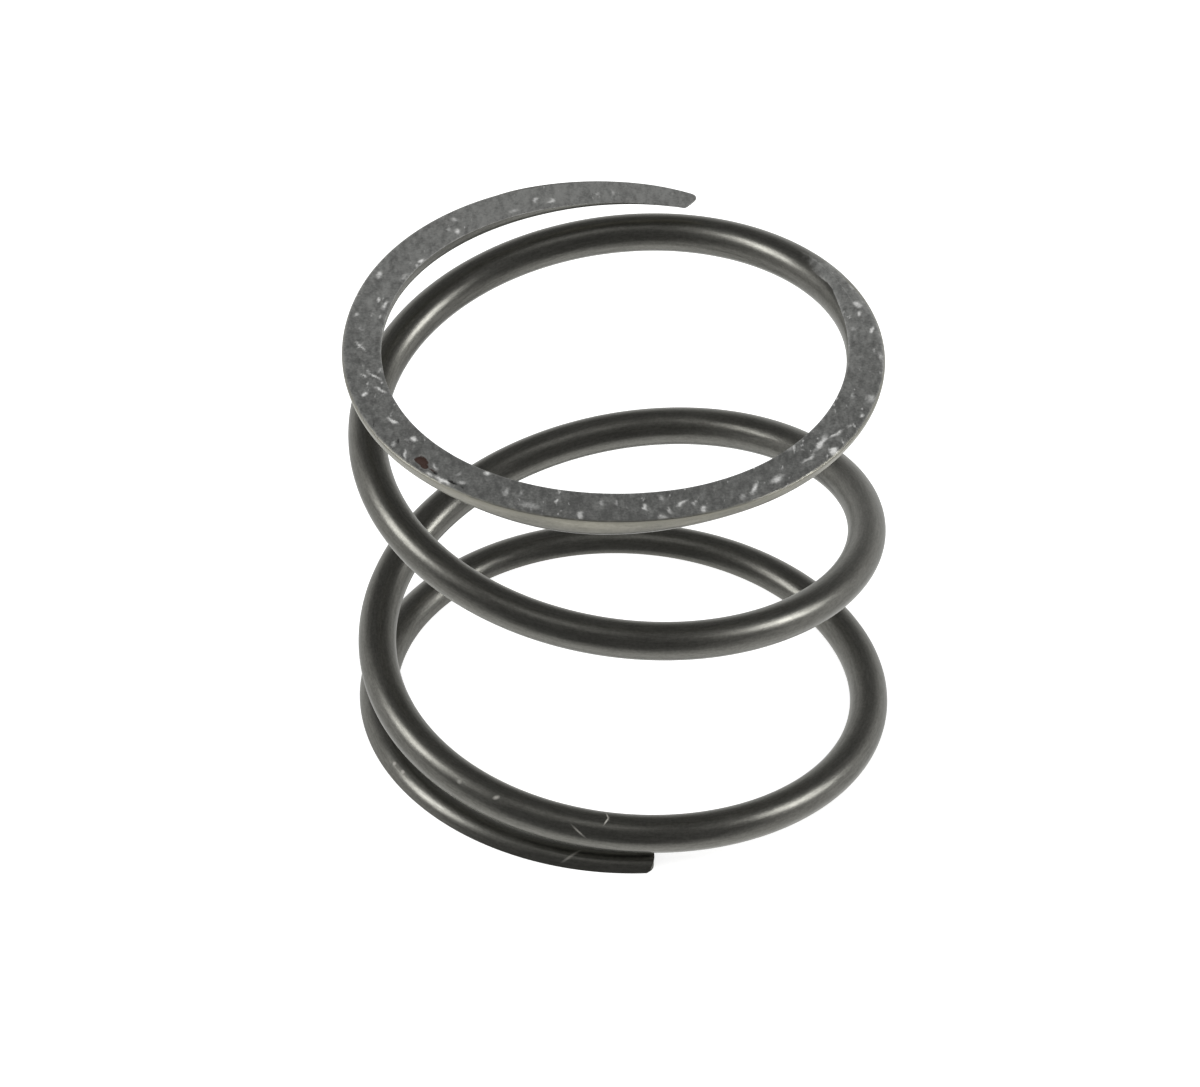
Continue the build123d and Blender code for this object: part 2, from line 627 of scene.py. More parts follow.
FLECKS = (
    Fleck(2.5390, 16.5, 0.24, 0.20, 0.9, -2.0),
    Fleck(2.5393, -2.0, 0.20, 0.25, 0.65, 2.5),
    Fleck(2.5233, 63.0, 0.75, 0.13, 0.5, 0.7),
    Fleck(3.5175, 34.0, 0.8, 0.20, 0.45, -1.0),
    Fleck(3.3765, 39.0, 0.22, 0.20, 0.6),
    Fleck(3.3860, 35.0, 0.24, 0.18, 0.7),
    Fleck(2.4690, 38.0, 0.30, 0.24, 0.6, -0.5),
    Fleck(2.4430, 49.0, 0.26, 0.22, 0.35),
)

WORN_STRETCHES = (
    WornStretch(102.0, 8.0, 0.7),
    WornStretch(130.0, 7.0, 0.5),
    WornStretch(148.0, 7.0, 0.6),
    WornStretch(165.0, 8.0, 0.5),
    WornStretch(201.0, 16.0, 0.7),
    WornStretch(258.0, 9.0, 0.6),
    WornStretch(285.0, 16.0, 0.6),
    WornStretch(306.0, 9.0, 0.8),
    WornStretch(324.0, 14.0, 1.0),
    WornStretch(340.0, 14.0, 0.8),
    WornStretch(380.0, 10.0, 0.6),
)


@dataclass
class SpringSizes:
    """The part's own driving dimensions, in millimetres, degrees and whole turns."""

    wire_diameter: Number = 2.0
    outside_diameter: Number = 28.0
    free_height: Number = 24.2
    total_turns: Number = 3.57
    upper_tip_angle: Number = 73.2
    upper_closed_turns: Number = 0.65
    lower_closed_turns: Number = 0.615
    upper_tip_gap: Number = 0.96
    lower_tip_gap: Number = 0.3
    upper_tip_thickness: Number = 0.26
    lower_tip_thickness: Number = 0.63
    upper_cut_skew: Number = 18.0
    lower_cut_skew: Number = 0.0
    tip_corner_radius: Number = 0.8
    lean_angle: Number = 3.1
    lean_begins: Number = 0.69
    lean_complete: Number = 1.25
    upper_spread: Number = 0.42
    upper_spread_turn: Number = 0.42
    upper_spread_reach: Number = 0.165
    lower_spread: Number = 0.145
    lower_spread_turn: Number = 0.36
    lower_spread_reach: Number = 0.6
    upper_tuck: Number = 0.12
    upper_tuck_reach: Number = 0.45
    lower_tuck: Number = 0.195
    lower_tuck_reach: Number = 0.35
    upper_lift: Number = 0.55
    upper_lift_turn: Number = 0.39
    upper_lift_reach: Number = 0.305


class Winding:
    """The rule that the wire's centre line follows, in millimetres.

    It works on plain numbers, and just as well on the fields of a node tree.
    """

    def __init__(self, sums: Sums, sizes: SpringSizes) -> None:
        """Works out what the rule needs from the sizes.

        Args:
            sums: does the sums on the kind of number that the sizes are.
            sizes: the spring's driving dimensions.
        """
        self.sums = sums
        self.sizes = sizes
        self.wire_radius = sizes.wire_diameter / 2
        self.coil_radius = (sizes.outside_diameter - sizes.wire_diameter) / 2
        self.active = sizes.total_turns - sizes.upper_closed_turns - sizes.lower_closed_turns
        self.middle = sizes.upper_closed_turns + self.active / 2
        self.half = self.opened(self.middle)
        self.tip_angle = sizes.upper_tip_angle * (pi / 180)
        self.top_along_axis = self.find_top()
        self.upper_pitch, self.middle_pitch, self.lower_pitch = self.solve_pitches()

    def find_top(self) -> Number:
        """Height of the wire's centre at the upper tip, along the coil's leaning axis.

        Returns:
            The height, in millimetres.
        """
        lean = self.lean(0.0)
        height = self.sizes.free_height + self.wire_radius - self.sizes.upper_tip_thickness
        reach = self.radius(0.0) * self.sums.cos(self.tip_angle)
        return (height - reach * self.sums.sin(lean)) / self.sums.cos(lean)

    def opened(self, turn: Number) -> Number:
        """Turns' worth of full pitch passed between the upper tip and this turn."""
        across = self.sums.held((turn - self.middle) / (self.active / 2), -1.0, 1.0)
        return self.active / pi * (1 + self.sums.sin(across * (pi / 2)))

    def solve_pitches(self) -> tuple[Number, Number, Number]:
        """The pitches of the upper end coil, of the open middle and of the lower end coil.

        The pitch swells from each end coil to the middle as half a cosine
        wave. Each end coil's pitch gives the gap at its tip, and the middle
        pitch makes up the rest of the drop.

        Returns:
            The three pitches, in millimetres for each turn.
        """
        sizes = self.sizes
        drop = self.top_along_axis - (sizes.lower_tip_thickness - self.wire_radius)
        upper_share = self.opened(1.0)
        lower_share = self.opened(sizes.total_turns) - self.opened(sizes.total_turns - 1)
        upper_base = (sizes.wire_diameter + sizes.upper_tip_gap) / (1 - upper_share)
        lower_base = (sizes.wire_diameter + sizes.lower_tip_gap) / (1 - lower_share)
        upper_slope = upper_share / (1 - upper_share)
        lower_slope = lower_share / (1 - lower_share)
        upper_turns = self.middle - self.half
        lower_turns = sizes.total_turns - self.middle - self.half
        fixed_drop = upper_base * upper_turns + lower_base * lower_turns
        free_turns = 2 * self.half - upper_slope * upper_turns - lower_slope * lower_turns
        middle_pitch = (drop - fixed_drop) / free_turns
        upper_pitch = upper_base - upper_slope * middle_pitch
        return upper_pitch, middle_pitch, lower_base - lower_slope * middle_pitch

    def lean(self, turn: Number) -> Number:
        """Lean in radians: none in the lower end coil, then fading in up the coil.

        Args:
            turn: turns from the upper tip.

        Returns:
            The lean there.
        """
        above_tip = self.sizes.total_turns - turn
        fade = self.sizes.lean_complete - self.sizes.lean_begins
        share = self.sums.eased((above_tip - self.sizes.lean_begins) / fade)
        return self.sizes.lean_angle * (pi / 180) * share

    def radius(self, turn: Number) -> Number:
        """Radius of the coil to the wire's centre, with each end's spread and tuck.

        Args:
            turn: turns from the upper tip.

        Returns:
            The radius there.
        """
        sizes = self.sizes
        above_tip = sizes.total_turns - turn
        upper = self.sums.hump(turn, sizes.upper_spread_turn, sizes.upper_spread_reach)
        lower = self.sums.hump(above_tip, sizes.lower_spread_turn, sizes.lower_spread_reach)
        upper_tuck = self.sums.eased(1 - turn / sizes.upper_tuck_reach) * sizes.upper_tuck
        lower_tuck = self.sums.eased(1 - above_tip / sizes.lower_tuck_reach) * sizes.lower_tuck
        widest = self.coil_radius + upper * sizes.upper_spread + lower * sizes.lower_spread
        return widest - upper_tuck - lower_tuck

    def fall(self, turn: Number) -> Number:
        """Drop of the wire's centre from the upper tip, along the coil's own axis.

        Args:
            turn: turns from the upper tip.

        Returns:
            The drop down to there.
        """
        opened = self.opened(turn)
        above = self.sums.least(turn, self.middle) - self.sums.least(opened, self.half)
        below = self.sums.most(turn - self.middle, 0.0) - self.sums.most(opened - self.half, 0.0)
        return self.upper_pitch * above + self.middle_pitch * opened + self.lower_pitch * below

    def centre(self, turn: Number) -> tuple[Number, Number, Number]:
        """Point on the wire's centre line after so many turns from the upper tip.

        Args:
            turn: turns from the upper tip.

        Returns:
            The point, as its three coordinates.
        """
        sizes = self.sizes
        angle = self.tip_angle + 2 * pi * turn
        across = self.radius(turn) * self.sums.cos(angle)
        lift = self.sums.hump(turn, sizes.upper_lift_turn, sizes.upper_lift_reach) * sizes.upper_lift
        height = self.top_along_axis - self.fall(turn) + lift
        lean = self.lean(turn)
        return (
            across * self.sums.cos(lean) - height * self.sums.sin(lean),
            self.radius(turn) * self.sums.sin(angle),
            across * self.sums.sin(lean) + height * self.sums.cos(lean),
        )


@dataclass(frozen=True)
class MeshSteps:
    """How finely the wire is meshed, and how much finer where its upper face shows."""

    # Sections along the wire, and the share of them that the first turns of the coil get
    stations: int = 1600
    fine_share: float = 0.62
    fine_turns: float = 0.98
    # Steps round each section, and on each half of the upper and of the lower face
    around: int = 60
    over_face: int = 13
    under_foot: int = 5


@dataclass(frozen=True)
class Grinding:
    """What the grinding left on the shoulders of the faces, in millimetres and turns."""

    # Softness of the outer and inner shoulders, and the least share of it at a thin tip
    shoulder: float = 0.55
    inner_shoulder: float = 0.3
    blunt_least: float = 0.15
    # The burr on the face's outer and inner edges, and how far down the side it reaches
    burr: float = 0.2
    inner_burr: float = 0.13
    burr_depth: float = 0.45
    burr_turn: float = 0.54
    burr_reach: float = 0.34
    raggedness: float = 0.05
    ragged: Pattern = Pattern(1.6, 3.0, 0.6)
    # Half the width that the face is taken to have at least, where the burr widens it
    narrowest_face: float = 0.3
    # The side swells at the front, towards so many degrees under the level. The swell
    # fades in from the wire's middle to this far outwards
    swell: float = 0.27
    swell_turn: float = 0.53
    swell_reach: float = 0.1
    swell_slope: float = 50.0
    swell_inset: float = 0.5
    # How far below the face the wire's crown still shows the ground look: partly that the wheel skimmed
    # it, partly painted sheen of the skin
    skimmed_and_sheen: float = 0.45
    # How far down the side the dark skin is rubbed pale
    rubbed: float = 1.1
    # How far the wire's middle is below the face where the rubbing ends, and how gradually
    # it does so, in wire radii
    rubbed_until: float = 1.1
    rubbed_fade: float = 0.3
    # Rounding in plan of the thin upper tip's outer and inner corners, and its half width
    tip_corners: tuple[float, float] = (0.35, 0.3)
    tip_half_width: float = 0.72
    # How much of the wire is left at the very end of the thin tip, and where it thins from
    tip_edge: float = 0.35
    tip_thins: float = 0.9
    # How far the thin tip springs outwards, and over how much of a turn
    tip_splay: float = 0.07
    tip_splay_reach: float = 0.12
    pit_depth: float = 0.06


class MarkTree(NodeBench):
    """A group of nodes that tells how much of one mark there is at a point of the face.

    Along is the point's angle about the coil, and lateral is how far it lies
    outwards of the wire's middle. Degree is the length of one degree of wire.
    The other inputs are the mark's own sizes.
    """

    POINT = ("along", "lateral", "degree")

    def __init__(self) -> None:
        """Lays the group's nodes."""
        super().__init__(bpy.data.node_groups.new("face_mark", "GeometryNodeTree"))
        entry = self.node("NodeGroupInput")
        given: dict[str, Field] = {}
        for name in (*self.POINT, *(size.name for size in fields(Mark))):
            self.tree.interface.new_socket(name, in_out="INPUT", socket_type="NodeSocketFloat")
            given[name] = Field(self, entry.outputs[name])
        self.tree.interface.new_socket("share", in_out="OUTPUT", socket_type="NodeSocketFloat")
        ahead = (given["along"] - given["angle"]) * given["degree"]
        across = given["lateral"] - given["outwards"] + ahead * given["slant"]
        far = self.vector(ahead / given["length"], across / given["width"], 0.0)
        share = self.eased(FADE - self.vectors("LENGTH", far) * 2.0) * given["strength"]
        self.feed(self.node("NodeGroupOutput").inputs["share"], share)


class WireTree(GeometryBench):
    """The tree that winds the wire, grinds its ends and marks its upper face."""

    # The narrowest strip of the section that a face is meshed on, in degrees
    NARROWEST = 25.0
    # The face's strip widens again over this much of the radius, past the ground
    WIDENING = 0.6
    # Length of wire over which the mesh is drawn to the shape of a cut tip
    TIP_REACH = 2.0
    # Room round the wire in the shear that cuts its lower tip
    SHEAR_CLEARANCE = 0.05
    # Height over which the look of a ground face fades in at its edge
    FEATHER = 0.6
    # How far the marks' outlines waver, and the noise that they waver with along and across
    WAVER = 0.45
    WAVES = (Pattern(2.4, layer=1.0), Pattern(2.4, layer=6.0))
    # Edges stay sharp past so many degrees
    SHARPEST = 38.0

    def __init__(self, steps: MeshSteps, grinding: Grinding) -> None:
        """Starts the tree with a named input for each of the spring's sizes.

        Args:
            steps: how finely the wire is meshed.
            grinding: what the grinding left on the shoulders.
        """
        super().__init__("wound_wire")
        self.steps = steps
        self.grinding = grinding
        self.sizes = SpringSizes(**{size.name: self.size(size.name) for size in fields(SpringSizes)})
        self.shift = self.size("shift", "NodeSocketVector")
        self.winding = Winding(self, self.sizes)
        self.radius = self.winding.wire_radius
        # What each point of the wound wire knows of its own section
        self.turn = self.recall("wire_turn")
        self.angle = self.turn * 360.0 + self.sizes.upper_tip_angle
        self.middle = self.recall("wire_middle", "FLOAT_VECTOR")
        self.run = self.vectors("NORMALIZE", self.recall("wire_run", "FLOAT_VECTOR"))
        level = self.vectors("CROSS_PRODUCT", self.run, (0.0, 0.0, 1.0))
        self.outward = self.vectors("NORMALIZE", level)
        self.up = self.vectors("CROSS_PRODUCT", self.outward, self.run)
        # Heights of both ground faces over the wire's middle, square to its run
        height = self.parts(self.middle)[2]
        rise = self.parts(self.up)[2]
        self.top = (self.sizes.free_height - height) / rise
        self.foot = -height / rise

    def length(self, turns: Field) -> Field:
        """Length of wire in so many turns."""
        return turns * (2 * pi) * self.winding.coil_radius

    def index(self) -> Field:
        """Each point's number."""
        return Field(self, self.node("GeometryNodeInputIndex").outputs[0])

    def turn_along(self) -> Field:
        """The turn that each station along the wire stands at, closer under the upper face.

        Returns:
            The station's turn, counted from the upper tip.
        """
        steps = self.steps
        share = self.index() / (steps.stations - 1)
        fine = self.held(share / steps.fine_share) * steps.fine_turns
        coarse = self.held((share - steps.fine_share) / (1 - steps.fine_share))
        return fine + coarse * (self.sizes.total_turns - steps.fine_turns)

    def wound(self) -> Value:
        """The round wire's mesh, each point knowing its turn and its place around the wire.

        Returns:
            The mesh, before anything is ground off it.
        """
        line = self.node("GeometryNodeCurvePrimitiveLine").outputs[0]
        values = {"Curve": line, "Count": self.steps.stations}
        curve = self.node("GeometryNodeResampleCurve", values).outputs[0]
        curve = self.remember(curve, "wire_turn", self.turn_along())
        curve = self.placed(curve, self.vector(*self.winding.centre(self.turn)))
        middle = self.node("GeometryNodeInputPosition").outputs[0]
        curve = self.remember(curve, "wire_middle", middle, "FLOAT_VECTOR")
        run = self.node("GeometryNodeInputTangent").outputs[0]
        curve = self.remember(curve, "wire_run", run, "FLOAT_VECTOR")
        values = {"Resolution": self.steps.around}
        ring = self.node("GeometryNodeCurvePrimitiveCircle", values).outputs[0]
        ring = self.remember(ring, "wire_around", self.index() / self.steps.around)
        values = {"Curve": curve, "Profile Curve": ring, "Fill Caps": True}
        return self.node("GeometryNodeCurveToMesh", values).outputs[0]

    def strip(self, cut: Field, count: int) -> Field:
        """Half the angle of the section's strip that a ground face is meshed on.

        Args:
            cut: height of the face above the wire's centre, in wire radii.
            count: how many of the ring's steps lie on each half of the strip.

        Returns:
            The angle, in radians.
        """
        narrowest = radians(self.NARROWEST)
        ground = self.math("ARCCOSINE", self.held(cut, -1.0, math.cos(narrowest)))
        widest = 2 * pi * count / self.steps.around
        past = self.eased((cut - math.cos(narrowest)) / self.WIDENING)
        return ground + past * (widest - narrowest)

    def crown(self, across: Field) -> Field:
        """Height of the round wire's skin over its middle, at a place across it."""
        return self.math("SQRT", self.most(self.radius * self.radius - across * across, 0.0))

    def spread(self) -> tuple[Field, Field, Field, Field]:
        """Spreads the ring's points over the round wire, evenly across where a face is ground.

        Returns:
            How far each point lies outwards and upwards of the wire's middle, how
            much it looks like the upper face, and half the width of that face.
        """
        steps, radius = self.steps, self.radius
        around = self.recall("wire_around")
        signed = around - self.over(around, 0.5)
        reach = abs(signed)
        over_face = steps.over_face / steps.around
        under_foot = steps.under_foot / steps.around
        half_step = 0.5 / steps.around

        top_strip = self.strip(self.top / radius, steps.over_face)
        foot_strip = self.strip(-self.foot / radius, steps.under_foot)
        half_face = radius * self.sin(top_strip)
        face_across = half_face * self.held(reach / over_face)
        foot_across = radius * self.sin(foot_strip) * self.held((0.5 - reach) / under_foot)
        along_side = (reach - over_face) / (0.5 - over_face - under_foot)
        turned = top_strip + (pi - foot_strip - top_strip) * along_side
        on_face = self.over(over_face + half_step, reach)
        on_foot = self.over(reach, 0.5 - under_foot - half_step)

        across = self.chosen(on_face, radius * self.sin(turned), face_across)
        across = self.chosen(on_foot, across, foot_across)
        face_up = self.crown(face_across)
        upward = self.chosen(on_face, radius * self.cos(turned), face_up)
        upward = self.chosen(on_foot, upward, -self.crown(foot_across))
        # The face's look reaches onto the crown below it: skimmed metal, and partly painted sheen
        face = on_face * self.held((face_up - self.top + self.grinding.skimmed_and_sheen) / self.FEATHER)
        return across * self.math("SIGN", signed), upward, face, half_face

    def ground(self, lateral: Field, upward: Field, half_face: Field) -> tuple[Field, Field]:
        """Cuts the section flat, and shapes what the grinding left of its shoulders.

        Args:
            lateral: how far a point of the round wire lies outwards of its middle.
            upward: how far it lies above the middle.
            half_face: half the width of the upper face.

        Returns:
            Where the point goes, outwards and upwards.
        """
        grinding, top, foot = self.grinding, self.top, self.foot
        place = self.vector(self.length(self.turn), lateral, upward)
        rag = self.swing(self.noise(place, grinding.ragged), grinding.raggedness)
        outer = self.over(lateral, 0.0)
        blunt = grinding.blunt_least
        shoulder = self.chosen(outer, grinding.inner_shoulder, grinding.shoulder)
        shoulder = shoulder * self.held(0.5 + top / self.radius, blunt, 1.0)
        upward = self.math("SMOOTH_MIN", upward, top, shoulder)
        shoulder = grinding.inner_shoulder * self.held(0.5 - foot / self.radius, blunt, 1.0)
        upward = self.math("SMOOTH_MAX", upward, foot, shoulder)

        burr = self.hump(self.turn, grinding.burr_turn, grinding.burr_reach)
        burr = burr * (grinding.burr + rag)
        burr = burr * self.chosen(outer, grinding.inner_burr / grinding.burr, 1.0)
        widened = self.held(1 - (top - upward) / grinding.burr_depth)
        lateral = lateral * (1 + widened * burr / self.most(half_face, grinding.narrowest_face))
        splay = self.hump(self.turn, 0.0, grinding.tip_splay_reach) * grinding.tip_splay
        lateral = lateral + splay
        swell = self.hump(self.turn, grinding.swell_turn, grinding.swell_reach) * grinding.swell
        swell = swell * self.eased(top - upward) * self.eased(lateral / grinding.swell_inset)
        slope = radians(grinding.swell_slope)
        return lateral + swell * math.cos(slope), upward - swell * math.sin(slope)

    def rubbed(self, lateral: Field, upward: Field) -> Field:
        """How far the dark skin is rubbed off the side under the upper face.

        Args:
            lateral: how far a point lies outwards of the wire's middle.
            upward: how far it lies above the middle.

        Returns:
            The share of the skin that is gone.
        """
        grinding = self.grinding
        share = self.held(1 - (self.top - upward) / grinding.rubbed)
        until = self.held((grinding.rubbed_until - self.top / self.radius) / grinding.rubbed_fade)
        return share * until * self.over(lateral, 0.0)

    def tip_line(
        self, lateral: Field, skew: Number, half_width: Number, corners: tuple[Number, Number]
    ) -> Field:
        """How far the cut end of the wire stands out past its tip, at a place across it.

        Args:
            lateral: distance across the wire, outwards.
            skew: how far the cut turns off square, in degrees.
            half_width: half the width of the end that is cut.
            corners: rounding of the outer and of the inner corner.

        Returns:
            The distance along the wire, outwards past the tip.
        """
        slant = skew * (pi / 180)
        line = lateral * self.math("TANGENT", slant)
        for sign, corner in zip((1.0, -1.0), corners):
            run_in = half_width - corner
            middle = (run_in * self.sin(slant) * sign - corner) / self.cos(slant)
            off = lateral - run_in * sign
            arc = middle + self.math("SQRT", self.most(corner * corner - off * off, 0.0))
            begins = run_in * sign - corner * self.sin(slant)
            line = self.chosen(self.over(lateral * sign, begins * sign), line, arc)
        return line

    def tipped(self, lateral: Field, upward: Field) -> tuple[Field, Field]:
        """Draws the mesh's ends out to the cut tips, and thins the upper one.

        Args:
            lateral: how far a point lies outwards of the wire's middle.
            upward: how far it lies above the middle.

        Returns:
            How far the point is drawn along the wire, and where it goes upwards.
        """
        sizes, grinding = self.sizes, self.grinding
        from_upper = self.length(self.turn)
        from_lower = self.length(sizes.total_turns - self.turn)
        near_upper = self.held(1 - from_upper / self.TIP_REACH)
        near_lower = self.held(1 - from_lower / self.TIP_REACH)
        half_width = self.radius + self.SHEAR_CLEARANCE
        corners = (sizes.tip_corner_radius, sizes.tip_corner_radius)
        lower = self.tip_line(lateral, sizes.lower_cut_skew, half_width, corners)
        half_width = grinding.tip_half_width
        upper = self.tip_line(lateral, sizes.upper_cut_skew, half_width, grinding.tip_corners)
        thinned = self.hump(from_upper, 0.0, grinding.tip_thins) * (1 - grinding.tip_edge)
        return near_lower * lower - near_upper * upper, upward + (self.top - upward) * thinned

    def marked(self, lateral: Field) -> tuple[Field, Field, Field]:
        """How strong each kind of mark is at a place across the upper face.

        Args:
            lateral: how far the place lies outwards of the wire's middle.

        Returns:
            The shares of scuff, of pit and of rust.
        """
        degree = self.winding.coil_radius * (pi / 180)
        waver, sway = (
            self.swing(self.noise(self.vector(self.angle * degree, lateral, wave.layer), wave), self.WAVER)
            for wave in self.WAVES
        )
        point = {"along": self.angle + waver / degree, "lateral": lateral + sway, "degree": degree}
        group = MarkTree().tree
        found = dict.fromkeys(Trace, 0.0)
        for trace, marks in MARKS.items():
            for mark in marks:
                made = self.node("GeometryNodeGroup", point | asdict(mark), node_tree=group)
                found[trace] = self.most(Field(self, made.outputs["share"]), found[trace])
        pitted = self.most(found[Trace.PIT], found[Trace.RUST])
        return found[Trace.SCUFF], pitted, found[Trace.RUST]

    def worn(self) -> Field:
        """How thick the bright specks lie at this turn of the upper face.

        Returns:
            A share, from none to the most.
        """
        total = 0.0
        for stretch in WORN_STRETCHES:
            total = self.hump(self.angle, stretch.angle, stretch.reach) * stretch.strength + total
        return self.held(total)

    def section(self) -> Value:
        """The wound wire, with its section ground flat, marked and drawn out to its tips.

        Returns:
            The finished mesh, in metres and in the part's own frame.
        """
        mesh = self.wound()
        lateral, upward, face, half_face = self.spread()
        place = self.vector(self.length(self.turn), lateral, upward)
        lateral, upward = self.ground(lateral, upward, half_face)
        # The marks are worked out once and carried, because each later step reads them again
        marks = self.vector(*self.marked(lateral))
        mesh = self.remember(mesh, "wire_marks", marks, "FLOAT_VECTOR")
        scuffed, pitted, rusty = self.parts(self.recall("wire_marks", "FLOAT_VECTOR"))
        upward = upward - pitted * face * self.grinding.pit_depth
        rubbed = self.rubbed(lateral, upward)
        drawn, upward = self.tipped(lateral, upward)

        point = self.middle
        for way, size in ((self.outward, lateral), (self.up, upward), (self.run, drawn)):
            point = self.vectors("ADD", point, self.scaled(way, size))
        x, y, z = self.parts(point)
        point = self.vector(x, y, self.held(z, 0.0, self.sizes.free_height))
        point = self.vectors("ADD", point, self.shift)
        mesh = self.remember(mesh, PLACE, place, "FLOAT_VECTOR")
        looks = {
            FACE: face,
            RUST: rusty * face,
            WORN: (self.worn() - pitted) * face,
            BRIGHT: scuffed * face,
            SHOULDER: rubbed,
        }
        for name, look in looks.items():
            mesh = self.remember(mesh, name, look)
        return self.placed(mesh, self.scaled(point, MM))


@dataclass(frozen=True)
class OilTemperedWire:
    """The dark, smooth skin of the round wire, rubbed pale under the upper face."""

    colour: Colour = (0.145, 0.143, 0.129)
    drawn: Colour = (0.205, 0.202, 0.183)
    rubbed: Colour = (0.42, 0.405, 0.34)
    # The rubbed metal's darker tone, which both the noise and the painted shade next to the face draw on
    rubbed_dark_and_painted_shade: Colour = (0.26, 0.252, 0.212)
    lint: Colour = (0.62, 0.60, 0.55)
    haze: Colour = (0.80, 0.84, 0.70)
    haze_share: float = 0.25
    haze_spread: float = 0.3
    roughness: float = 0.33
    roughness_swing: float = 0.16
    rubbed_roughness: float = 0.42
    lint_roughness: float = 0.8
    # The lines that the drawing left, the scale of the tempering, and their depth
    lines: Pattern = Pattern(9.0, 3.0, 0.6, drawn=0.12)
    scale: Pattern = Pattern(8.0, 3.0, 0.7, drawn=0.7)
    line_depth: float = 0.0022
    # Broad clouds over the whole skin
    cloud: Pattern = Pattern(0.8, drawn=0.35)
    # The values between which the noise goes from the darker colour to the paler one
    tones: tuple[float, float] = (0.35, 0.65)
    rubbed_edge: Edge = Edge(0.0, 1.0, fray=0.4)
    # Painted shade: the rubbed metal is painted darker where it is rubbed more than this, next to the
    # face, against the shoulder's bright reflection, and paler further down; and by how much noise
    painted_shade_from: float = 0.6
    painted_shade_strength: float = 0.5


@dataclass(frozen=True)
class GroundFace:
    """Steel ground flat and then dulled: mottled, with specks and pits."""

    dark: Colour = (0.255, 0.257, 0.249)
    pale: Colour = (0.58, 0.584, 0.565)
    speck: Colour = (0.93, 0.93, 0.91)
    pit: Colour = (0.07, 0.07, 0.068)
    roughness: float = 0.62
    roughness_swing: float = 0.2
    # The mottle, made of so much blotch, grain and fine grain, and its tones
    blotch: Pattern = Pattern(1.1, 2.0, 0.6, drawn=0.6)
    grain: Pattern = Pattern(3.4, 3.0, 0.65, drawn=0.48, layer=2.0)
    fine: Pattern = Pattern(7.0, 1.0, layer=8.0)
    mottle: tuple[float, float, float] = (0.3, 0.45, 0.25)
    tones: tuple[float, float] = (0.30, 0.70)
    grain_depth: float = 0.02
    # Painted light: the mottle's gain for each millimetre towards the back, where the face shows brighter
    # in the light
    painted_light_behind: float = 0.006
    # The small specks, how many more of them a worn stretch has, and how bright they are
    grit: Pattern = Pattern(3.0, 2.0, 0.6, drawn=0.45, layer=5.0)
    specks: tuple[float, float] = (0.66, 0.82)
    worn_specks: float = 0.08
    speck_share: float = 0.7
    speck_matt: float = 0.6
    speck_height: float = 0.4
    # How far the fine grain and the grain fray the scuffs
    scuff_fray: tuple[float, float] = (1.2, 0.8)
    # Where the look of the face fades in, ends outwards, and gives way to a pit
    edge: Edge = Edge(0.25, 0.6, fray=0.4)
    rim: Edge = Edge(0.85, 1.0, fray=0.15)
    pit_edge: Edge = Edge(0.1, 0.9, fray=0.4)


@dataclass(frozen=True)
class Rust:
    """Brown rust in the deepest pit."""

    colour: Colour = (0.055, 0.027, 0.020)
    roughness: float = 0.8
    metallic: float = 0.2
    edge: Edge = Edge(0.15, 0.6, fray=0.8)


